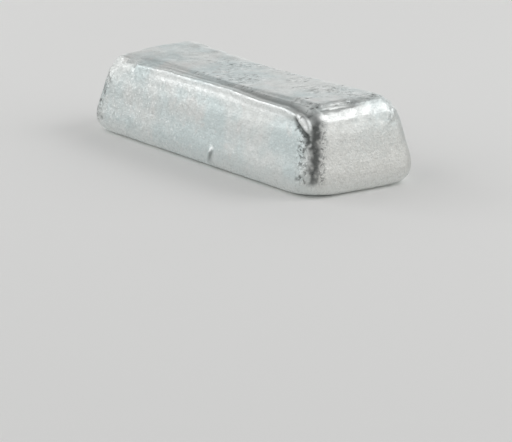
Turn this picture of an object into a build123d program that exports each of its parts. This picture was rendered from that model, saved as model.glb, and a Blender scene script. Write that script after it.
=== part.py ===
from build123d import *
import os
from math import cos, radians, sin, tan

# Aluminium ingot, cast as one piece in an open tapered mould and lying on its wide face.
# Sizes are in millimetres and angles in degrees.
# X runs along the ingot, Y across it, Z up. The origin is the middle of the wide face.
# The near end is at +X and the far end at -X. The front is the long side at -Y.

# The wide face, where the metal lay open to the air and drew back from the mould's wall.
base_length = 204.0
base_width = 75.0
meniscus_radius = 9.0

# The walls, and the narrow face that froze a little out of level on the mould's floor.
draft = 12.5
near_height = 44.6
far_height = 42.6
back_rise = 1.3
top_edge_radius = 14.5

# The upright corners are round at the foot, tighter half way up and almost square on top.
foot_corner_radius = 18.0
wall_corner_radius = 11.0
top_corner_radius = 3.5
corner_change = 18.0

# The swell on the far part of the top, in steps where the metal lapped and froze.
swell_steps = 3
swell_step_height = 0.9
swell_step_back = 18.0
swell_step_inset = 1.0
swell_crest_length = 22.0
swell_root_depth = 3.0
swell_slope = 60.0
swell_far_margin = 6.5
swell_side_margin = 6.4
swell_corner_radius = 9.0

# The cold-lap trough in the rounding behind the top's front edge.
trough_length = 200.0
trough_depth = 2.9
trough_radius = 5.0
trough_middle_x = 20.0
trough_side_margin = 3.5

# The blister that a gas bubble raised low on the front.
blister_length = 11.0
blister_radius = 2.4
blister_height = 0.9
blister_x = 16.5
blister_z = 8.5

# The shrinkage dish that the cooling metal drew down in the middle of the wide face.
dish_length = 140.0
dish_width = 34.0
dish_depth = 1.5
dish_slope = 75.0
dish_corner_radius = 15.0
dish_blend_radius = 8.0

# The roundings are lofted through sections that leave this last angle to the flat faces.
flat_angle = 12.0
foot_sections = 3
wall_sections = 3
top_sections = 4

# The narrow face is one plane through the heights of its ends and of its back edge.
draft_slope = tan(radians(draft))
middle_height = (near_height + far_height) / 2
end_rise = near_height - far_height
top_length = base_length - 2 * middle_height * draft_slope
top_width = base_width - 2 * middle_height * draft_slope
foot_drop = meniscus_radius * (1 - cos(radians(flat_angle)))
top_drop = top_edge_radius * (1 - cos(radians(flat_angle)))


def level_plane(z):
    """The plane of one section: level at the foot, and as tilted as the narrow face on top."""
    tilt = z / middle_height
    return Plane(
        origin=(0, 0, z),
        x_dir=(top_length, 0, tilt * end_rise),
        z_dir=(-tilt * end_rise / top_length, -tilt * back_rise / top_width, 1),
    )


def corner_radius(z):
    """The plan radius of the upright corners at one height."""
    foot_share = max(0, 1 - z / corner_change) ** 2
    top_share = max(0, 1 - (middle_height - z) / corner_change) ** 2
    foot_extra = (foot_corner_radius - wall_corner_radius) * foot_share
    top_extra = (top_corner_radius - wall_corner_radius) * top_share
    return wall_corner_radius + foot_extra + top_extra


def section_levels():
    """The height of each section, and how far its outline lies inside the base outline."""
    foot_top = meniscus_radius - foot_drop
    wall_top = middle_height + top_drop - top_edge_radius
    levels = []
    for step in range(foot_sections):
        turn = radians(flat_angle + (90 - flat_angle) * step / foot_sections)
        z = meniscus_radius * (1 - cos(turn)) - foot_drop
        levels.append((z, z * draft_slope + meniscus_radius * (1 - sin(turn))))
    for step in range(wall_sections):
        z = foot_top + (wall_top - foot_top) * step / (wall_sections - 1)
        levels.append((z, z * draft_slope))
    for step in range(1, top_sections + 1):
        turn = radians((90 - flat_angle) * step / top_sections)
        z = wall_top + top_edge_radius * sin(turn)
        levels.append((z, z * draft_slope + top_edge_radius * (1 - cos(turn))))
    return levels


top_plane = level_plane(middle_height)

with BuildPart() as ingot:
    # The tapered block is one loft through the meniscus, the walls and the top's rounding.
    for section_z, inset in section_levels():
        with BuildSketch(level_plane(section_z)):
            RectangleRounded(
                base_length - 2 * inset, base_width - 2 * inset, corner_radius(section_z)
            )
    loft()

    # Each step of the swell is a tapered pad that grows out of the metal below it.
    for step in range(swell_steps):
        pad_margin = step * swell_step_inset
        pad_far_x = swell_far_margin + pad_margin - top_length / 2
        pad_length = swell_crest_length + (swell_steps - 1 - step) * swell_step_back
        pad_width = top_width - 2 * (swell_side_margin + pad_margin)
        with BuildSketch(top_plane.offset(-swell_root_depth)):
            with Locations((pad_far_x + pad_length / 2, 0)):
                RectangleRounded(pad_length, pad_width, swell_corner_radius)
        extrude(amount=swell_root_depth + (step + 1) * swell_step_height, taper=swell_slope)

    # The trough is the hollow of a slender ring that dips into the edge and runs out again.
    ring_radius = (trough_length**2 / 4 + trough_depth**2) / (2 * trough_depth)
    trough_middle = (trough_middle_x, trough_side_margin - top_width / 2, 0)
    trough_plane = Plane(
        origin=top_plane.from_local_coords(trough_middle),
        x_dir=top_plane.y_dir,
        z_dir=top_plane.x_dir,
    )
    with BuildSketch(trough_plane):
        with Locations((0, trough_radius - trough_depth)):
            Circle(trough_radius)
    ring_axis = Axis(
        trough_plane.from_local_coords((0, trough_radius + ring_radius, 0)), trough_plane.x_dir
    )
    revolve(axis=ring_axis, mode=Mode.SUBTRACT)

    # The blister is a half-sunk bead that stands up the front wall.
    blister_plane = Plane(
        origin=(blister_x, blister_z * draft_slope - base_width / 2, blister_z),
        x_dir=(1, 0, 0),
        z_dir=(0, -1, draft_slope),
    ).offset(blister_height - blister_radius)
    with BuildSketch(blister_plane):
        Ellipse(blister_radius, blister_length / 2)
        split(bisect_by=Plane.YZ)
    revolve(axis=Axis(blister_plane.origin, blister_plane.y_dir))

    # The dish leaves a flat rim round it, and the ingot rests on that rim.
    with BuildSketch(Plane.XY):
        RectangleRounded(dish_length, dish_width, dish_corner_radius)
    extrude(amount=dish_depth, taper=dish_slope, mode=Mode.SUBTRACT)
    dish_floor = ingot.faces(Select.LAST).sort_by(Axis.Z)[-1]
    fillet(dish_floor.edges(), dish_blend_radius)

ingot.part.label = "ingot"
os.makedirs("parts", exist_ok=True)
export_step(ingot.part, "parts/ingot.step")
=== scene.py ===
import math
from collections import namedtuple

import bmesh
import bpy
import numpy as np
from mathutils import Matrix, Vector, noise


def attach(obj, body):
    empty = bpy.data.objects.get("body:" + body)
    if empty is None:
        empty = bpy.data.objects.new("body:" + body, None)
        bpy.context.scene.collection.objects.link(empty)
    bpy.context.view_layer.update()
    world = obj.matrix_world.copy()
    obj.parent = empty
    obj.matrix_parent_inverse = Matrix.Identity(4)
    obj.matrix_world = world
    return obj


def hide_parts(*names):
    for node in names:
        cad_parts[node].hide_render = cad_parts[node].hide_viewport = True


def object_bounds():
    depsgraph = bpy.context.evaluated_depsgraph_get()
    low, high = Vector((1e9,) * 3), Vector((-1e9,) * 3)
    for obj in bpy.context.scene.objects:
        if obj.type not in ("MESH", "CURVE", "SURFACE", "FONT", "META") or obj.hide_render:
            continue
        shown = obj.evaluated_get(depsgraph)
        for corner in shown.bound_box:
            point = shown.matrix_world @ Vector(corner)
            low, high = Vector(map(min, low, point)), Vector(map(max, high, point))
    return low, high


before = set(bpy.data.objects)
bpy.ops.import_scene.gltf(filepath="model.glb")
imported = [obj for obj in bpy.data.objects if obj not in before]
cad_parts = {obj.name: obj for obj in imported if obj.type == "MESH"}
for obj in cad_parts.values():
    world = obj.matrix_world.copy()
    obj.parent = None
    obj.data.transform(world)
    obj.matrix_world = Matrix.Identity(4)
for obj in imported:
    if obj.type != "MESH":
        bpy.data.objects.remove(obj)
cad_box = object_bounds()

# Blender's lengths are metres. The skin is worked out in millimetres and degrees, in the frame
# of the part: the near end is at +X, the front is at -Y and the foot stands on Z = 0.
MM = 0.001
LOW = np.array(cad_box[0]) / MM
HIGH = np.array(cad_box[1]) / MM

# The solid's section, which the skin follows. The narrow face, on top, is a little out of level.
BASE_HALF_LENGTH = 102.0
BASE_HALF_WIDTH = 37.5
DRAFT = 12.5
MIDDLE_HEIGHT = 43.6
END_RISE = 2.0
BACK_RISE = 1.3
EDGE_RADIUS = 14.5
CORNER_RADIUS = 11.0

DRAFT_SLOPE = math.tan(math.radians(DRAFT))
TOP_HALF_LENGTH = BASE_HALF_LENGTH - MIDDLE_HEIGHT * DRAFT_SLOPE
TOP_HALF_WIDTH = BASE_HALF_WIDTH - MIDDLE_HEIGHT * DRAFT_SLOPE
EDGE_TANGENT = EDGE_RADIUS * math.tan(math.radians((90 - DRAFT) / 2))

# The skin's mesh, and how far it stays inside the solid's box.
VOXEL = 0.75
WELD_DISTANCE = 0.001
RELAX_FACTOR = 0.5
RELAX_ROUNDS = 6
BOX_MARGIN = 0.02
RIM_HEIGHT = 0.15

# The swell on the far part of the top. Towards the back it stands in laps. Each lap has a height,
# the stretch of X in which it ends, and a lip along that end.
Lap = namedtuple("Lap", "height start end lip_height lip_x lip_reach")
LAPS = (
    Lap(1.00, -68, -63, 0.30, -71.0, 5.0),
    Lap(0.75, -52, -46, 0.22, -53.5, 3.5),
    Lap(0.70, -34, -22, 0.22, -35.5, 4.0),
)
LAP_WANDER = 3.5
LAP_BOW = 0.004
LAP_BOW_Y = 6
LAP_LEAD = 2
LAPPED_Y = (6, 21)

# Towards the front the swell is one long slope, which runs out before the front edge.
SWELL_HEIGHT = 2.3
SWELL_SLOPE = (-82, -20)
SWELL_FAR_END = (-95, -80)
SWELL_BACK_END = (23, 28)
FRONT_SLOPE_Y = -29
FRONT_SLOPE_LENGTH = 29
FRONT_SLOPE_LEAD = 13
FRONT_SLOPE_LEAD_X = (-85, -50)

# The shallow sag in the middle of the top.
SAG_DEPTH = 0.6
SAG_X = 14
SAG_REACH = 32

# The part of the top that is laid anew, and the widths over which it blends into the rest.
TOP_FRONT_Y = -18.5
TOP_FRONT_Y_FAR = -24.5
TOP_BACK_Y = 24.0
TOP_SIDE_BLEND = 1.5
TOP_LENGTH = (-90, -87, 82, 88)
FACES_UP = (0.3, 0.6)

# The front top edge. A turn is an angle round an edge's centre line: the wall ends at the draft,
# and 90 is straight up. The wall runs on past the edge's rounding as a ridge, with a groove
# behind it. Behind the groove the top has a shoulder, and at the far end it runs on to the ridge
# as a shelf.
NEAR_RIDGE_RISE = 2.4
FAR_RIDGE_RISE = 2.6
FAR_TO_NEAR = (-88, -36)
RIDGE_LENGTH = (-92, -76, 84, 92)
RIDGE_TURNS = (13, 20, 66, 76)
RIDGE_BREAK = (50, 65)
EVEN_TURNS = (40, 52)

GROOVE_DEPTH = 0.4
GROOVE_TURNS = (56, 80)
GROOVE_DEEPENS_X = (-50, 10)
FAR_GROOVE_DEPTH = 1.0
FAR_GROOVE_TURNS = (48, 68)
FAR_GROOVE_DEEPENS_X = (-60, -25)

SHOULDER_RISE = 0.9
SHOULDER_TURNS = (56, 68)
SHOULDER_FADES_X = (-45, 5)

SHELF_RISE_FAR = 0.2
SHELF_RISE_MIDDLE = 1.0
SHELF_RISES_X = (-56, -30)
SHELF_STARTS_X = (-60, -36)
SHELF_FADES_Y = (-22, -6)
SHELF_SWELL_Y = -21
SHARP_MEETING = 0.6
SOFT_MEETING = 3.2
MEETING_SHARPENS_X = (-78, -50)

# The ridge sinks towards the near corner, in two steps: by how far a turn, and where along X.
RIDGE_SLUMPS = ((8, 12, 55), (12, 66, 90))

# The near top edge: a band that is almost flat, with folds behind it.
BAND_TURN = 39
BAND_REACH = 1.035 * EDGE_RADIUS
BAND_RISE = 9
BAND_LENGTH = (-27, -22, 18, 26)
BAND_END_TURNS = (46, 58)
BAND_WIDENS_Y = (-4, 9)
BAND_WIDENS_BY = 30
FOLD_PITCH = 12.5
FOLD_HEIGHT = 0.14
FOLD_WANDER = 7
FOLD_TURNS = (44, 52, 68, 80)
FOLD_SINK = 0.12
FOLD_SINK_TURNS = (52, 70)
FOLDS_LEFT = 0.15

# The low ridges on the back and far top edges.
LOW_RIDGE_RISE = 0.9
LOW_RIDGE_TURNS = (20, 44, 47, 62)

# The near upright corner, which is torn from just above the foot to the top's rounding. A drip
# hangs over the tear's top, and a notch runs down beside it.
CORNER_OUTWARD = np.array((0.781, -0.568, 0.260))
CORNER_START = (74, -22, 20)
CORNER_OVERLAP = 2
TORN_HEIGHT = (6, 9, 34.5, 38)
FRONT_FLANK_TURNS = (46, 95)
END_FLANK_TURNS = (2, 28)
# The turns of the band down the corner, on which shade is painted.
DARK_BAND_TURNS = (20, 54)
LUMP_HEIGHT = 0.30
DRIP_LINE = ((84.0, -29.0, 38.5), (88.3, -29.4, 37.0), (90.6, -29.7, 34.4))
DRIP_HEIGHT = 1.2
DRIP_RADIUS = 2.1
NOTCH_LINE = (
    (81.3, -29.5, 37.5),
    (83.6, -30.0, 35.5),
    (88.4, -30.5, 32.9),
    (92.6, -30.7, 30.9),
    (94.0, -31.3, 28.3),
)
NOTCH_DEPTH = 1.2
NOTCH_RADIUS = 1.0

# The painted highlight on the drip and the painted shade in the notch reach a little past their
# forms. What isn't at a corner counts as far away from its lines and as turned away from it.
MASK_MARGIN = 0.1
FAR_AWAY = 1000.0
TURNED_AWAY = -90

# Pits in the skin: place, radius and depth.
PITS = (
    ((-65.9, -27.3, 39.7), 1.5, 0.5),
    ((-74.3, -27.6, 39.4), 1.2, 0.25),
    ((-22.7, 5.7, 44.2), 1.3, 0.6),
    ((-31.0, -2.0, 44.2), 1.0, 0.4),
    ((98.5, 18.0, 21.4), 1.0, 0.8),
    ((97.3, -34.0, 8.1), 2.1, 0.7),
    ((92.8, -35.4, 9.5), 1.1, 0.5),
    ((89.6, -35.6, 9.3), 1.2, 0.5),
    ((-91.1, -33.8, 16.8), 1.5, 0.8),
    ((-86.2, -35.7, 7.9), 1.3, 0.6),
    ((-88.7, -32.7, 21.7), 1.6, 0.8),
    ((-90.5, -31.5, 27.5), 1.4, 0.7),
    ((-92.5, -33.5, 12.0), 1.3, 0.7),
)

# The burst blister low on the front. It leans to the right, and it reaches further to the left at
# its foot than at its tip.
BLISTER_HEIGHT = 0.8
BLISTER_X = 16.0
BLISTER_LEAN = 2.0
BLISTER_FOOT_Z = 3.6
BLISTER_TIP_Z = 11.3
BLISTER_MIDDLE_Z = 7.2
BLISTER_HALF_LENGTH = 4.6
BLISTER_LEFT_REACH = (3.0, 1.4)
BLISTER_RIGHT_REACH = 1.0

# Its painted highlights and painted shade: how far to the right of its middle line, how high, and
# how large.
Glint = namedtuple("Glint", "offset z reach_x reach_z")
LIT_FOOT = Glint(-2.2, 5.0, 1.3, 2.0)
LIT_TIP = Glint(-0.4, 11.0, 0.9, 1.5)
DARK_SIDE = Glint(0.5, 7.4, 0.9, 3.0)

# The waves and the grain of the whole skin.
WAVE_HEIGHT = 0.10
GRAIN_HEIGHT = 0.045

# How far each seed shifts the noise, how fast its octaves fade, and how much finer each one is
# than the one before it.
NOISE_SHIFT = (7.31, 3.17, 5.73)
NOISE_FADE = 0.6
NOISE_STEP = 2.0

# Where the states of the metal, its painted shade and its painted highlights begin and end:
# along X, up Z, and in turns round the edges.
# The turns and the length of the groove and of the folds bound the shade painted on them.
SHADED_GROOVE_TURNS = (52, 80)
SHADED_GROOVE_LENGTH = (-45, 60, 90, 96)
SHADED_FOLD_TURNS = (50, 84)
FRONT_CREST_TURNS = (26, 54)
FRONT_CREST_LENGTH = (-60, -35, 88, 92)
NEAR_CREST_TURNS = (24, 54)
BRIGHT_FOOT_Z = (2, 11)
FAR_FLANK_TURNS = (30, 110)
FAR_FLANK_TOP_Z = (30, 38)
TOP_TURNS = (58, 72)
FROST_FADES_X = (-60, 40)
PITTED_X = (-60, -10)
WARM_X = (88, 100)

# The metal's colours, which also serve for its painted highlights and its painted shade.
COOL_METAL = (0.645, 0.715, 0.715)
PALE_METAL = (0.74, 0.76, 0.745)
WARM_METAL = (0.74, 0.74, 0.71)
ROSY_METAL = (0.74, 0.72, 0.70)
DULL_METAL = (0.52, 0.55, 0.54)
# The brightest tone: bright streaks, and the painted glints and highlights.
BRIGHT_TONE_AND_HIGHLIGHT = (0.93, 0.95, 0.94)
# The darkest tone: black specks and tears, and the painted shade.
SOOT_AND_SHADE = (0.12, 0.13, 0.125)
FLOOR_PAPER = (0.87, 0.87, 0.86)

# The camera, as the photograph was taken: a long lens, a little above the ingot. Its place is in
# metres, its roll in radians, and its lens and sensor in millimetres.
CAMERA_PLACE = Vector((1.0018, -0.7269, 0.2964))
CAMERA_AIM = Vector((-0.77933, 0.57024, -0.25975))
CAMERA_ROLL = 0.0063
CAMERA_LENS = 170.16
CAMERA_REACH = (0.01, 50)
SENSOR_WIDTH = 36.0

# The soft lamps, which all face the ingot. Azimuth is anticlockwise from +X, distance, width and
# height are in metres, and a radiance of 1 shows as white.
Lamp = namedtuple("Lamp", "name azimuth elevation distance width height radiance")
LAMPS = (
    Lamp("left_box", -116, 31, 1.4, 2.3, 1.4, 0.86),
    Lamp("right_box", 40, 32, 1.4, 2.1, 1.4, 0.84),
    Lamp("back_box", 142, 16, 1.7, 2.4, 0.9, 0.93),
    Lamp("back_top", 122, 40, 1.5, 0.7, 0.35, 0.95),
    Lamp("left_strip", -155, 27, 1.3, 0.5, 0.5, 1.7),
    Lamp("right_strip", 57, 45, 1.3, 0.8, 0.5, 1.4),
)
WORLD_LIGHT = 0.30
FLOOR_SIZE = 12


def smooth_step(start, end, value):
    """0 up to start and 1 from end on, with a soft slope between them."""
    t = np.clip((value - start) / (end - start), 0, 1)
    return t * t * (3 - 2 * t)


def fade_out(start, end, value):
    """1 up to start and 0 from end on."""
    return 1 - smooth_step(start, end, value)


def window(start, full, fading, end, value):
    """1 from full to fading, and 0 outside start and end."""
    return smooth_step(start, full, value) * fade_out(fading, end, value)


def hump(start, end, value):
    """A smooth hump from start to end, 1 in the middle."""
    t = np.clip((value - start) / (end - start), 0, 1)
    return (4 * t * (1 - t)) ** 1.5


def spot(distance, radius, sharpness=2):
    """1 at no distance and fading out at the radius, all at once where it is a sharp one."""
    return np.exp(-((distance / radius) ** sharpness))


def mixed(first, second, share):
    """The first value, and the second where the share is 1."""
    return first + (second - first) * share


def lower_of(first, second, blend):
    """The lower of two values, with their meeting rounded off."""
    return -blend * np.log(np.exp(-first / blend) + np.exp(-second / blend))


class Skin:
    """The places of a mesh's vertices, in millimetres, and their turns round the ingot's edges."""

    def __init__(self, mesh):
        self.mesh = mesh
        flat = np.empty(len(mesh.vertices) * 3, dtype=np.float32)
        mesh.vertices.foreach_get("co", flat)
        self.place = flat.reshape(-1, 3).astype(float) / MM
        mesh.vertices.foreach_get("normal", flat)
        self.normal = flat.reshape(-1, 3).astype(float)
        # These three are views, so they move as place does. The turns stay as they were.
        self.x, self.y, self.z = self.place.T
        end_share = self.x / TOP_HALF_LENGTH / 2
        back_share = self.y / TOP_HALF_WIDTH / 2
        self.top = MIDDLE_HEIGHT + END_RISE * end_share + BACK_RISE * back_share
        self.front = self.edge_turn(-self.y, BASE_HALF_WIDTH)
        self.back = self.edge_turn(self.y, BASE_HALF_WIDTH)
        self.near = self.edge_turn(self.x, BASE_HALF_LENGTH)
        self.far = self.edge_turn(-self.x, BASE_HALF_LENGTH)

    def edge_centre(self, base_half):
        """How far out the centre line of a top edge's rounding lies."""
        return base_half - self.top * DRAFT_SLOPE - EDGE_TANGENT

    def edge_turn(self, outward, base_half):
        """The turn round a top edge: 0 is level with its centre line and 90 is straight up."""
        across = outward - self.edge_centre(base_half)
        return np.degrees(np.arctan2(self.z - self.top + EDGE_RADIUS, across))

    def corner_turn(self, x_side, y_side):
        """The turn round an upright corner: 0 faces along X and 90 faces along Y."""
        inset = self.z * DRAFT_SLOPE + CORNER_RADIUS
        along = x_side * self.x - (BASE_HALF_LENGTH - inset)
        across = y_side * self.y - (BASE_HALF_WIDTH - inset)
        turn = np.degrees(np.arctan2(across, along))
        at_corner = (along > -CORNER_OVERLAP) & (across > -CORNER_OVERLAP)
        return np.where(at_corner, turn, TURNED_AWAY)

    def noise(self, grain, octaves, seed, stretch=(1, 1, 1)):
        """Smooth noise from about -1 to 1, with grains of the given size."""
        shift = Vector([seed * step for step in NOISE_SHIFT])
        grid = self.place / (grain * np.array(stretch))
        shape = (NOISE_FADE, NOISE_STEP, octaves)
        return np.array([
            noise.fractal(Vector(point) + shift, *shape, noise_basis="PERLIN_ORIGINAL")
            for point in grid
        ])

    def near_line(self, points):
        """The distance from a line on the near corner, as it is seen from outside that corner."""
        flatten = np.eye(3) - np.outer(CORNER_OUTWARD, CORNER_OUTWARD)
        place = self.place @ flatten
        best = np.full(len(place), FAR_AWAY)
        for start, end in zip(points, points[1:]):
            start, end = flatten @ start, flatten @ end
            run = end - start
            share = np.clip((place - start) @ run / (run @ run), 0, 1)
            foot = start + share[:, None] * run
            best = np.minimum(best, np.linalg.norm(place - foot, axis=1))
        x, y, z = CORNER_START
        at_corner = (self.x > x) & (self.y < y) & (self.z > z)
        return np.where(at_corner, best, FAR_AWAY)

    def store(self, place):
        """Moves the mesh's vertices to the given places."""
        self.mesh.vertices.foreach_set("co", (place * MM).astype(np.float32).ravel())
        self.mesh.update()


def remeshed_copy(source, name):
    """A closed, even mesh over the CAD node, with its creases melted a little."""
    mesh = source.data.copy()
    mesh.name = name
    bm = bmesh.new()
    bm.from_mesh(mesh)
    bmesh.ops.remove_doubles(bm, verts=bm.verts, dist=WELD_DISTANCE * MM)
    bm.to_mesh(mesh)
    bm.free()
    piece = bpy.data.objects.new(name, mesh)
    bpy.context.scene.collection.objects.link(piece)
    remesh = piece.modifiers.new("skin", "REMESH")
    remesh.mode = "VOXEL"
    remesh.voxel_size = VOXEL * MM
    relax = piece.modifiers.new("relax", "SMOOTH")
    relax.factor = RELAX_FACTOR
    relax.iterations = RELAX_ROUNDS
    bpy.context.view_layer.update()
    evaluated = piece.evaluated_get(bpy.context.evaluated_depsgraph_get())
    skin = bpy.data.meshes.new_from_object(evaluated)
    piece.modifiers.clear()
    piece.data = skin
    skin.name = name
    skin.shade_smooth()
    skin.materials.clear()
    return piece


def far_share(x):
    """How far the top runs on to the front ridge: all the way at the far end."""
    return fade_out(*FAR_TO_NEAR, x)


def shelf_rise(x):
    """How high the top stands beside the front ridge, where it runs on to it."""
    return mixed(SHELF_RISE_FAR, SHELF_RISE_MIDDLE, smooth_step(*SHELF_RISES_X, x))


def ridge_slump(x):
    """How far round its edge the front ridge sinks towards the near corner."""
    return sum(turn * smooth_step(start, end, x) for turn, start, end in RIDGE_SLUMPS)


def smooth_swell(x):
    """The height of the swell without its laps."""
    return SWELL_HEIGHT * fade_out(*SWELL_SLOPE, x)


def swell_front(x, y):
    """How much of the swell is left towards the front edge."""
    start = FRONT_SLOPE_Y - FRONT_SLOPE_LEAD * smooth_step(*FRONT_SLOPE_LEAD_X, x) * far_share(x)
    return smooth_step(start, start + FRONT_SLOPE_LENGTH, y)


def lapped_swell(x):
    """The height of the swell's laps, each with its lip."""
    height = 0
    for lap in LAPS:
        height += lap.height * fade_out(lap.start, lap.end, x)
        height += lap.lip_height * spot(x - lap.lip_x, lap.lip_reach)
    return height


def top_relief(skin):
    """How high the top stands over its plane: it swells at the far end and sags in the middle."""
    x, y = skin.x, skin.y
    wander = LAP_WANDER * skin.noise(grain=22, octaves=2, seed=11)
    bowed_x = x + LAP_LEAD - LAP_BOW * (y - LAP_BOW_Y) ** 2 + wander
    lapped_share = smooth_step(*LAPPED_Y, y)
    height = mixed(smooth_swell(bowed_x), lapped_swell(bowed_x), lapped_share)
    height *= swell_front(x, y) * fade_out(*SWELL_BACK_END, y) * smooth_step(*SWELL_FAR_END, x)
    beside_ridge = smooth_step(*SHELF_STARTS_X, x) * fade_out(*SHELF_FADES_Y, y)
    height += shelf_rise(x) * far_share(x) * beside_ridge
    return height - SAG_DEPTH * spot(x - SAG_X, SAG_REACH)


def rounding_drop(distance):
    """How far a rounding has dropped, at a distance past the line where it starts."""
    distance = np.clip(distance, 0, EDGE_RADIUS)
    return EDGE_RADIUS - np.sqrt(EDGE_RADIUS**2 - distance**2)


def lay_top(skin):
    """Lays the top's laps and its sag over the plain steps of the solid."""
    x, y = skin.x, skin.y
    side_drop = rounding_drop(np.abs(y) - (TOP_HALF_WIDTH - EDGE_TANGENT))
    side_drop = np.where(y < 0, side_drop * (1 - far_share(x)), side_drop)
    end_drop = rounding_drop(np.abs(x) - (TOP_HALF_LENGTH - EDGE_TANGENT))
    level = skin.top - side_drop - end_drop + top_relief(skin)
    front_y = mixed(TOP_FRONT_Y, TOP_FRONT_Y_FAR, far_share(x))
    share = smooth_step(front_y - TOP_SIDE_BLEND, front_y + TOP_SIDE_BLEND, y)
    share *= fade_out(TOP_BACK_Y - TOP_SIDE_BLEND, TOP_BACK_Y + TOP_SIDE_BLEND, y)
    share *= window(*TOP_LENGTH, x) * smooth_step(*FACES_UP, skin.normal[:, 2])
    skin.place[:, 2] += share * (level - skin.z)


def ridge_rise(turn, cap):
    """How far a wall that runs straight on stands out of the rounding, up to a cap."""
    lean = np.radians(np.clip(turn, DRAFT, 70) - DRAFT)
    return cap * np.tanh((EDGE_RADIUS / np.cos(lean) - EDGE_RADIUS) / cap)


def near_ridge(skin, reach, turn):
    """The reach of the front edge where the top lies lower than its ridge."""
    # Behind the ridge the rounding is an even arc, and it carries the groove and the shoulder.
    rounded = mixed(reach, EDGE_RADIUS, smooth_step(*EVEN_TURNS, turn))
    ridge = ridge_rise(skin.front, NEAR_RIDGE_RISE) * fade_out(*RIDGE_BREAK, turn)
    groove = GROOVE_DEPTH * hump(*GROOVE_TURNS, turn) * smooth_step(*GROOVE_DEEPENS_X, skin.x)
    shoulder = smooth_step(*SHOULDER_TURNS, turn) * fade_out(*SHOULDER_FADES_X, skin.x)
    shoulder *= SHOULDER_RISE
    return rounded + ridge - groove + shoulder


def far_ridge(skin, reach, turn):
    """The reach of the front edge where the wall and the top run on until they meet."""
    x = skin.x
    wall = reach + ridge_rise(skin.front, FAR_RIDGE_RISE)
    swell = smooth_swell(x) * smooth_step(*SWELL_FAR_END, x) * swell_front(x, SHELF_SWELL_Y)
    level = EDGE_RADIUS + shelf_rise(x) + swell
    top = level / np.sin(np.radians(np.clip(skin.front, 20, 90)))
    meeting = mixed(SOFT_MEETING, SHARP_MEETING, smooth_step(*MEETING_SHARPENS_X, x))
    groove = mixed(GROOVE_DEPTH, FAR_GROOVE_DEPTH, smooth_step(*FAR_GROOVE_DEEPENS_X, x))
    return lower_of(wall, top, meeting) - groove * hump(*FAR_GROOVE_TURNS, turn)


def lay_front_edge(skin):
    """Draws the front's top rounding out into a ridge with a cold-lap groove behind it."""
    outward = -skin.y - skin.edge_centre(BASE_HALF_WIDTH)
    up = skin.z - skin.top + EDGE_RADIUS
    reach = np.hypot(outward, up)
    turn = skin.front + skin.noise(grain=9, octaves=3, seed=3) + ridge_slump(skin.x)
    near, far = near_ridge(skin, reach, turn), far_ridge(skin, reach, turn)
    target = mixed(near, far, far_share(skin.x))
    share = window(*RIDGE_TURNS, skin.front) * window(*RIDGE_LENGTH, skin.x)
    move = share * (target - reach) / np.maximum(reach, 1)
    skin.place[:, 1] -= move * outward
    skin.place[:, 2] += move * up


def near_edge_relief(skin, wobble):
    """The band along the near top edge, and the fine folds behind it."""
    turn = skin.near + 2 * wobble
    length_share = window(*BAND_LENGTH, skin.y)
    wide_share = smooth_step(*BAND_WIDENS_Y, skin.y)
    start, end = BAND_END_TURNS
    band = BAND_REACH / np.cos(np.radians(np.clip(turn, 10, 60) - BAND_TURN)) - EDGE_RADIUS
    band = np.minimum(ridge_rise(turn, BAND_RISE), band)
    band *= fade_out(start, end + BAND_WIDENS_BY * wide_share, turn)
    bends = FOLD_WANDER * skin.noise(grain=6, octaves=2, seed=4, stretch=(0.6, 2.4, 1))
    folds = np.cos(np.radians((skin.near - FOLD_TURNS[1] + bends) * 360 / FOLD_PITCH))
    folds *= FOLD_HEIGHT * window(*FOLD_TURNS, skin.near)
    folds -= FOLD_SINK * hump(*FOLD_SINK_TURNS, skin.near)
    return length_share * (band + folds * mixed(1, FOLDS_LEFT, wide_share))


def low_ridge(turn, wobble):
    """A low ridge round one top edge, stronger in some places than in others."""
    return LOW_RIDGE_RISE * window(*LOW_RIDGE_TURNS, turn + 3 * wobble) * (0.7 + wobble)


def edge_relief(skin):
    """The relief of the three top edges that aren't the front one."""
    wobble = skin.noise(grain=7, octaves=3, seed=3)
    relief = near_edge_relief(skin, wobble)
    for turn in (skin.back, skin.far):
        relief += low_ridge(turn, wobble)
    return relief


class NearCorner:
    """The near upright corner: a smooth band with painted shade between two torn flanks, with a
    drip and a notch.
    """

    def __init__(self, skin):
        turn = skin.corner_turn(1, -1)
        height_share = window(*TORN_HEIGHT, skin.z)
        front_flank = hump(*FRONT_FLANK_TURNS, turn) * height_share
        self.end_flank = hump(*END_FLANK_TURNS, turn) * height_share
        lumps = skin.noise(grain=2.0, octaves=2, seed=6)
        drip_distance = skin.near_line(DRIP_LINE)
        notch_distance = skin.near_line(NOTCH_LINE)
        self.relief = LUMP_HEIGHT * lumps * (front_flank + 0.7 * self.end_flank)
        self.relief += DRIP_HEIGHT * spot(drip_distance, DRIP_RADIUS, sharpness=6)
        self.relief -= NOTCH_DEPTH * spot(notch_distance, NOTCH_RADIUS) * (1 + 0.5 * lumps)
        # The drip's mask carries a painted highlight, and the notch's a painted shade.
        self.drip = spot(drip_distance, DRIP_RADIUS + MASK_MARGIN, sharpness=6)
        self.notch = spot(notch_distance, NOTCH_RADIUS + MASK_MARGIN)
        self.front_flank = front_flank * (1 - self.drip)
        ragged = 8 * skin.noise(grain=5, octaves=3, seed=7) + 7 * lumps
        # The band's darkness is painted shade, ragged at its sides.
        painted_dark_band = hump(*DARK_BAND_TURNS, turn + ragged) * height_share
        self.painted_dark_band = painted_dark_band * (1 - self.drip)


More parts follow.
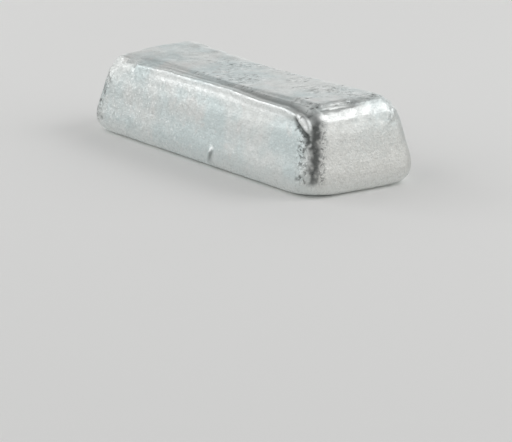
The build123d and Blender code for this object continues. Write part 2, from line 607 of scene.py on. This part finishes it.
class Blister:
    """The burst blister low on the front: its relief, the painted highlight on its lit edge and
    the painted shade on its dark side.
    """

    def __init__(self, skin):
        length = BLISTER_TIP_Z - BLISTER_FOOT_Z
        rise = np.clip((skin.z - BLISTER_FOOT_Z) / length, 0, 1)
        offset = skin.x - (BLISTER_X + BLISTER_LEAN * rise)
        left_reach = mixed(*BLISTER_LEFT_REACH, rise)
        across = offset / np.where(offset < 0, left_reach, BLISTER_RIGHT_REACH)
        along = (skin.z - BLISTER_MIDDLE_Z) / BLISTER_HALF_LENGTH
        mound = np.sqrt(np.clip(1 - across**2 - along**2, 0, 1))
        lit_foot, lit_tip, dark_side = (
            spot(offset - glint.offset, glint.reach_x) * spot(skin.z - glint.z, glint.reach_z)
            for glint in (LIT_FOOT, LIT_TIP, DARK_SIDE)
        )
        on_front = skin.y < 0
        self.relief = BLISTER_HEIGHT * mound * on_front
        # The lit spots carry a painted highlight and the dark side a painted shade.
        self.lit = np.maximum(lit_foot, lit_tip) * on_front
        self.dark = dark_side * on_front


def pit_depth(skin):
    """How deep the pits are at each vertex."""
    depth = np.zeros(len(skin.place))
    for place, radius, deep in PITS:
        distance = np.linalg.norm(skin.place - np.array(place), axis=1)
        depth = np.maximum(depth, deep * spot(distance, radius, sharpness=4))
    return depth


def painted_shade_share(skin, corner, blister, pits):
    """Where shade is painted: in the groove, the notch, the pits, the band, the end's folds and on
    the blister's dark side.
    """
    groove = hump(*SHADED_GROOVE_TURNS, skin.front + ridge_slump(skin.x))
    groove *= window(*SHADED_GROOVE_LENGTH, skin.x)
    folds = hump(*SHADED_FOLD_TURNS, skin.near) * mixed(1, 0.3, smooth_step(-2, 8, skin.y))
    folds *= smooth_step(0.1, 0.3, skin.noise(grain=2.5, octaves=2, seed=9, stretch=(0.5, 3, 1)))
    # Each part is painted shade, darker where it weighs more.
    painted_shade = 0.55 * groove + 0.6 * folds + 0.8 * pits + 0.5 * blister.dark
    return painted_shade + 0.95 * corner.notch + 0.85 * corner.painted_dark_band


def painted_highlight_share(skin, corner, blister, foot):
    """Where highlights are painted: on the drip, the crests, the foot and the blister's lit edge.
    """
    front_crest = hump(*FRONT_CREST_TURNS, skin.front) * window(*FRONT_CREST_LENGTH, skin.x)
    near_crest = hump(*NEAR_CREST_TURNS, skin.near) * smooth_step(-28, -22, skin.y)
    crests = np.maximum(0.8 * front_crest, 0.6 * near_crest)
    return np.maximum.reduce((corner.drip, crests, foot, blister.lit))


def torn_share(skin, corner):
    """Where the skin is torn: on both flanks of the near corner, and down the far one."""
    far_flank = hump(*FAR_FLANK_TURNS, skin.corner_turn(-1, -1))
    far_flank *= fade_out(*FAR_FLANK_TOP_Z, skin.z)
    return corner.front_flank + 0.8 * corner.end_flank + 0.8 * far_flank


def skin_masks(skin, corner, blister, pits, grain):
    """Where each state of the metal, the painted highlights and the painted shade show, by name.
    """
    # The foot is painted lighter, against the shade near the floor; the same mask makes it
    # rougher.
    foot = 0.7 * fade_out(*BRIGHT_FOOT_Z, skin.z)
    lowest_turn = np.minimum.reduce((skin.front, skin.back, skin.near, skin.far))
    top_share = smooth_step(*TOP_TURNS, lowest_turn)
    frost = mixed(0.4, 1.0, fade_out(*FROST_FADES_X, skin.x))
    pit_groups = smooth_step(-0.35, 0.25, skin.noise(grain=18, octaves=2, seed=13))
    pitted = smooth_step(*PITTED_X, skin.x) * pit_groups
    return {
        "painted_shade": painted_shade_share(skin, corner, blister, pits),
        "torn": torn_share(skin, corner),
        "smooth": corner.painted_dark_band,
        "bright": painted_highlight_share(skin, corner, blister, foot),
        "foot": foot,
        "warm": smooth_step(*WARM_X, skin.x + 2 * grain),
        "frost": frost * (1 - top_share),
        "pitted": pitted * top_share,
    }


def set_mask(mesh, name, values):
    """Keeps one value for each vertex, from 0 to 1, for the material to read."""
    layer = mesh.attributes.new(name, "FLOAT", "POINT")
    layer.data.foreach_set("value", np.clip(values, 0, 1).astype(np.float32))


def raise_skin(skin, relief):
    """Moves the skin along its normals, inside the solid's box and with its rim on the ground."""
    place = skin.place + skin.normal * relief[:, None]
    place = np.clip(place, LOW + BOX_MARGIN, HIGH - BOX_MARGIN)
    on_ground = np.maximum(0, place[:, 2] - BOX_MARGIN)
    place[:, 2] = np.where(skin.z < RIM_HEIGHT, on_ground, place[:, 2])
    skin.store(place)


def work_skin(mesh):
    """Gives the ingot's skin its large forms first, and then its relief and its masks."""
    skin = Skin(mesh)
    lay_top(skin)
    lay_front_edge(skin)
    skin.store(skin.place)

    skin = Skin(mesh)
    corner, blister, pits = NearCorner(skin), Blister(skin), pit_depth(skin)
    grain = skin.noise(grain=2.6, octaves=3, seed=2)
    relief = edge_relief(skin) + corner.relief + blister.relief - pits
    relief += WAVE_HEIGHT * skin.noise(grain=16, octaves=2, seed=1) + GRAIN_HEIGHT * grain
    raise_skin(skin, relief)
    for name, values in skin_masks(skin, corner, blister, pits, grain).items():
        set_mask(mesh, name, values)


class Nodes:
    """Short names for the nodes that a material is made of."""

    def __init__(self, name):
        self.material = bpy.data.materials.new(name)
        self.material.use_nodes = True
        self.tree = self.material.node_tree
        self.shader = self.tree.nodes["Principled BSDF"]
        self.place = self.tree.nodes.new("ShaderNodeTexCoord").outputs["Object"]

    def link(self, source, socket):
        """Feeds a socket from a node, or sets it to a number, a vector or a colour."""
        if isinstance(source, (int, float)):
            socket.default_value = source
        elif isinstance(source, tuple):
            socket.default_value = (*source, 1) if len(socket.default_value) == 4 else source
        else:
            self.tree.links.new(source, socket)

    def math(self, operation, *values):
        """The result of one operation on one or two numbers."""
        node = self.tree.nodes.new("ShaderNodeMath")
        node.operation = operation
        for value, socket in zip(values, node.inputs):
            self.link(value, socket)
        return node.outputs["Value"]

    def chain(self, operation, first, *others):
        """The result of one operation on any number of values, from left to right."""
        for other in others:
            first = self.math(operation, first, other)
        return first

    def product(self, *values):
        """All the values multiplied together."""
        return self.chain("MULTIPLY", *values)

    def highest(self, *values):
        """The highest of the values."""
        return self.chain("MAXIMUM", *values)

    def vector(self, operation, *values):
        """The result of one operation on vectors."""
        node = self.tree.nodes.new("ShaderNodeVectorMath")
        node.operation = operation
        for value, socket in zip(values, node.inputs):
            self.link(value, socket)
        return node.outputs["Value" if operation == "DOT_PRODUCT" else "Vector"]

    def ramp(self, value, low, high, start=0.0, end=1.0):
        """A soft slope from start, where the value is low, to end, where it is high."""
        node = self.tree.nodes.new("ShaderNodeMapRange")
        node.interpolation_type = "SMOOTHSTEP"
        limits = {"From Min": low, "From Max": high, "To Min": start, "To Max": end}
        for name, limit in limits.items():
            node.inputs[name].default_value = limit
        self.link(value, node.inputs["Value"])
        return node.outputs["Result"]

    def mix(self, share, first, second):
        """The first colour, and the second where the share is 1."""
        node = self.tree.nodes.new("ShaderNodeMix")
        node.data_type = "RGBA"
        self.link(share, node.inputs["Factor"])
        self.link(first, node.inputs[6])
        self.link(second, node.inputs[7])
        return node.outputs[2]

    def mask(self, name):
        """One of the skin's masks."""
        node = self.tree.nodes.new("ShaderNodeAttribute")
        node.attribute_name = name
        return node.outputs["Fac"]

    def stretched(self, stretch, shift):
        """The place on the object, for a texture."""
        node = self.tree.nodes.new("ShaderNodeMapping")
        node.inputs["Location"].default_value = (shift, shift, shift)
        node.inputs["Scale"].default_value = stretch
        self.link(self.place, node.inputs["Vector"])
        return node.outputs["Vector"]

    def noise(self, grain, detail, roughness=0.55, stretch=(1, 1, 1), shift=0.0):
        """Smooth noise round 0.5, with grains of the given size in millimetres."""
        node = self.tree.nodes.new("ShaderNodeTexNoise")
        node.inputs["Scale"].default_value = 1 / (grain * MM)
        node.inputs["Detail"].default_value = detail
        node.inputs["Roughness"].default_value = roughness
        self.link(self.stretched(stretch, shift), node.inputs["Vector"])
        return node.outputs["Fac"]

    def crystals(self, grain):
        """Cells that each lean their own way: their height in millimetres, and their outputs."""
        node = self.tree.nodes.new("ShaderNodeTexVoronoi")
        node.inputs["Scale"].default_value = 1 / (grain * MM)
        place = self.stretched((1, 1, 1), 0.0)
        self.link(place, node.inputs["Vector"])
        lean = self.vector("SUBTRACT", node.outputs["Color"], (0.5, 0.5, 0.5))
        offset = self.vector("SUBTRACT", place, node.outputs["Position"])
        height = self.math("MULTIPLY", self.vector("DOT_PRODUCT", lean, offset), 1 / MM)
        return height, node.outputs

    def relief(self, height, distance, strength, below=None):
        """A bump of the given height in millimetres, laid over the one below it."""
        node = self.tree.nodes.new("ShaderNodeBump")
        node.inputs["Distance"].default_value = distance * MM
        self.link(strength, node.inputs["Strength"])
        self.link(height, node.inputs["Height"])
        if below is not None:
            self.link(below, node.inputs["Normal"])
        return node.outputs["Normal"]


def bare_metal(n):
    """The bare metal: cool and pale patches, a rosy cast here and there, and a fine mottle."""
    patches = n.ramp(n.noise(grain=30, detail=3, shift=3), 0.38, 0.62)
    rosy = n.ramp(n.noise(grain=9, detail=3, shift=8), 0.56, 0.72, 0, 0.45)
    mottle = n.ramp(n.noise(grain=1.6, detail=3, roughness=0.7, shift=5), 0.35, 0.65, 0, 0.22)
    colour = n.mix(patches, COOL_METAL, PALE_METAL)
    colour = n.mix(rosy, colour, ROSY_METAL)
    colour = n.mix(n.mask("warm"), colour, WARM_METAL)
    return n.mix(mottle, colour, DULL_METAL)


def frost_flecks(n, crystal):
    """The middles of the few crystals in the frosted skin that catch the light."""
    random_share = n.math("FRACT", n.vector("DOT_PRODUCT", crystal["Color"], (3.1, 5.7, 7.3)))
    chosen = n.ramp(random_share, 0.72, 0.9)
    middle = n.ramp(crystal["Distance"], 0.5, 0.2)
    return n.product(chosen, middle, n.mask("frost"))


def with_highlights(n, colour, fleck):
    """The colour with painted glints on its flecks and painted highlights on its crests."""
    # Painted glints on the chosen crystals.
    colour = n.mix(n.product(fleck, 0.8), colour, BRIGHT_TONE_AND_HIGHLIGHT)
    highlight_breakup = n.ramp(n.noise(grain=1.4, detail=2, roughness=0.7, shift=17), 0.3, 0.55, 0.4, 1.0)
    # Painted highlights on the drip, the crests, the foot and the blister, broken up by noise.
    return n.mix(n.product(n.mask("bright"), highlight_breakup), colour, BRIGHT_TONE_AND_HIGHLIGHT)


def with_streaks(n, colour):
    """The colour with the dull, black and bright streaks of the pitted top."""
    streaks = n.noise(grain=1.6, detail=3, roughness=0.7, stretch=(0.7, 0.35, 1), shift=19)
    dull = n.ramp(streaks, 0.50, 0.60, 0, 0.7)
    black = n.ramp(streaks, 0.58, 0.66, 0, 0.8)
    bright = n.ramp(streaks, 0.46, 0.38, 0, 0.7)
    for share, tone in ((dull, DULL_METAL), (black, SOOT_AND_SHADE), (bright, BRIGHT_TONE_AND_HIGHLIGHT)):
        colour = n.mix(n.product(share, n.mask("pitted")), colour, tone)
    return colour


def with_specks_and_painted_shade(n, colour):
    """The colour with the dark of its tears and its pores, and with painted shade in its hollows.
    """
    tears = n.ramp(n.noise(grain=2.0, detail=3, roughness=0.7, shift=23), 0.5, 0.6)
    pores = n.ramp(n.noise(grain=1.3, detail=2, roughness=0.6, shift=11), 0.58, 0.68)
    torn_pores = n.ramp(n.mask("torn"), 0, 1, 0.12, 0.8)
    pore_share = n.highest(torn_pores, n.product(n.mask("pitted"), 0.45))
    colour = n.mix(n.product(tears, n.mask("torn"), 0.75), colour, SOOT_AND_SHADE)
    colour = n.mix(n.product(pores, pore_share), colour, SOOT_AND_SHADE)
    # Painted shade: the groove, notch, pits, folds, corner band and the blister's dark side are
    # darkened.
    return n.mix(n.mask("painted_shade"), colour, SOOT_AND_SHADE)


def metal_roughness(n, fleck):
    """The roughness: less on the flecks and on the smooth dark band, and more at the foot."""
    rough = n.ramp(n.noise(grain=5, detail=3, shift=2), 0.3, 0.7, 0.42, 0.56)
    for share, change in ((fleck, -0.14), (n.mask("smooth"), -0.16), (n.mask("foot"), 0.3)):
        rough = n.math("ADD", rough, n.product(share, change))
    return rough


def metal_relief(n, frost_height):
    """The fine relief: lumps, a grain that is strong where the skin is rugged, and the frost."""
    lump_noise = n.noise(grain=2.6, detail=3, roughness=0.6, shift=1)
    lumps = n.relief(lump_noise, distance=0.25, strength=0.35)
    rugged = n.highest(n.mask("torn"), n.product(n.mask("warm"), 0.8), n.mask("pitted"))
    grain_noise = n.noise(grain=1.1, detail=2, roughness=0.65, shift=6)
    grain_strength = n.ramp(rugged, 0, 1, 0.4, 1.0)
    grain = n.relief(grain_noise, 0.26, grain_strength, below=lumps)
    frost_strength = n.ramp(n.mask("frost"), 0, 1, 0.25, 0.8)
    return n.relief(frost_height, 0.22, frost_strength, below=grain)


def aluminium():
    """Cast aluminium: frosted, mottled and pitted, with painted shade in its hollows and painted
    highlights on its crests.
    """
    n = Nodes("cast_aluminium")
    frost_height, crystal = n.crystals(1.25)
    fleck = frost_flecks(n, crystal)
    colour = with_highlights(n, bare_metal(n), fleck)
    colour = with_specks_and_painted_shade(n, with_streaks(n, colour))
    n.link(colour, n.shader.inputs["Base Color"])
    n.link(metal_roughness(n, fleck), n.shader.inputs["Roughness"])
    n.link(metal_relief(n, frost_height), n.shader.inputs["Normal"])
    n.link(1.0, n.shader.inputs["Metallic"])
    return n.material


def paper():
    """The matt pale paper of the floor."""
    n = Nodes("floor_paper")
    n.link(FLOOR_PAPER, n.shader.inputs["Base Color"])
    n.link(0.9, n.shader.inputs["Roughness"])
    n.link(0.0, n.shader.inputs["Specular IOR Level"])
    return n.material


def make_floor():
    """A plain pale floor under the ingot."""
    bpy.ops.mesh.primitive_plane_add(size=FLOOR_SIZE)
    floor = bpy.context.active_object
    floor.name = "floor"
    floor.data.materials.append(paper())


def direction(azimuth, elevation):
    """The unit vector that points that way from the ingot."""
    a, e = math.radians(azimuth), math.radians(elevation)
    return Vector((math.cos(a) * math.cos(e), math.sin(a) * math.cos(e), math.sin(e)))


def make_lamp(lamp):
    """One soft lamp that faces the ingot."""
    data = bpy.data.lights.new(lamp.name, "AREA")
    data.shape = "RECTANGLE"
    data.size = lamp.width
    data.size_y = lamp.height
    data.energy = lamp.radiance * math.pi * lamp.width * lamp.height
    box = bpy.data.objects.new(lamp.name, data)
    outward = direction(lamp.azimuth, lamp.elevation)
    box.location = outward * lamp.distance
    box.rotation_mode = "QUATERNION"
    box.rotation_quaternion = (-outward).to_track_quat("-Z", "Y")
    bpy.context.scene.collection.objects.link(box)


def make_world():
    """An even white light from all round."""
    world = bpy.data.worlds.new("studio")
    world.use_nodes = True
    background = world.node_tree.nodes["Background"]
    background.inputs["Color"].default_value = (1, 1, 1, 1)
    background.inputs["Strength"].default_value = WORLD_LIGHT
    bpy.context.scene.world = world


def make_camera():
    """The camera, where the photograph was taken from."""
    data = bpy.data.cameras.new("camera")
    data.lens = CAMERA_LENS
    data.sensor_width = SENSOR_WIDTH
    data.sensor_fit = "HORIZONTAL"
    data.clip_start, data.clip_end = CAMERA_REACH
    camera = bpy.data.objects.new("camera", data)
    camera.location = CAMERA_PLACE
    camera.rotation_mode = "QUATERNION"
    aim = CAMERA_AIM.normalized().to_track_quat("-Z", "Y")
    camera.rotation_quaternion = aim @ Matrix.Rotation(CAMERA_ROLL, 4, "Z").to_quaternion()
    bpy.context.scene.collection.objects.link(camera)
    bpy.context.scene.camera = camera


ingot = remeshed_copy(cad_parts["ingot"], "ingot_casting")
work_skin(ingot.data)
ingot.data.materials.append(aluminium())
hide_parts("ingot")
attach(ingot, "root")

make_floor()
for lamp in LAMPS:
    make_lamp(lamp)
make_world()
make_camera()
bpy.context.scene.view_settings.view_transform = "Standard"
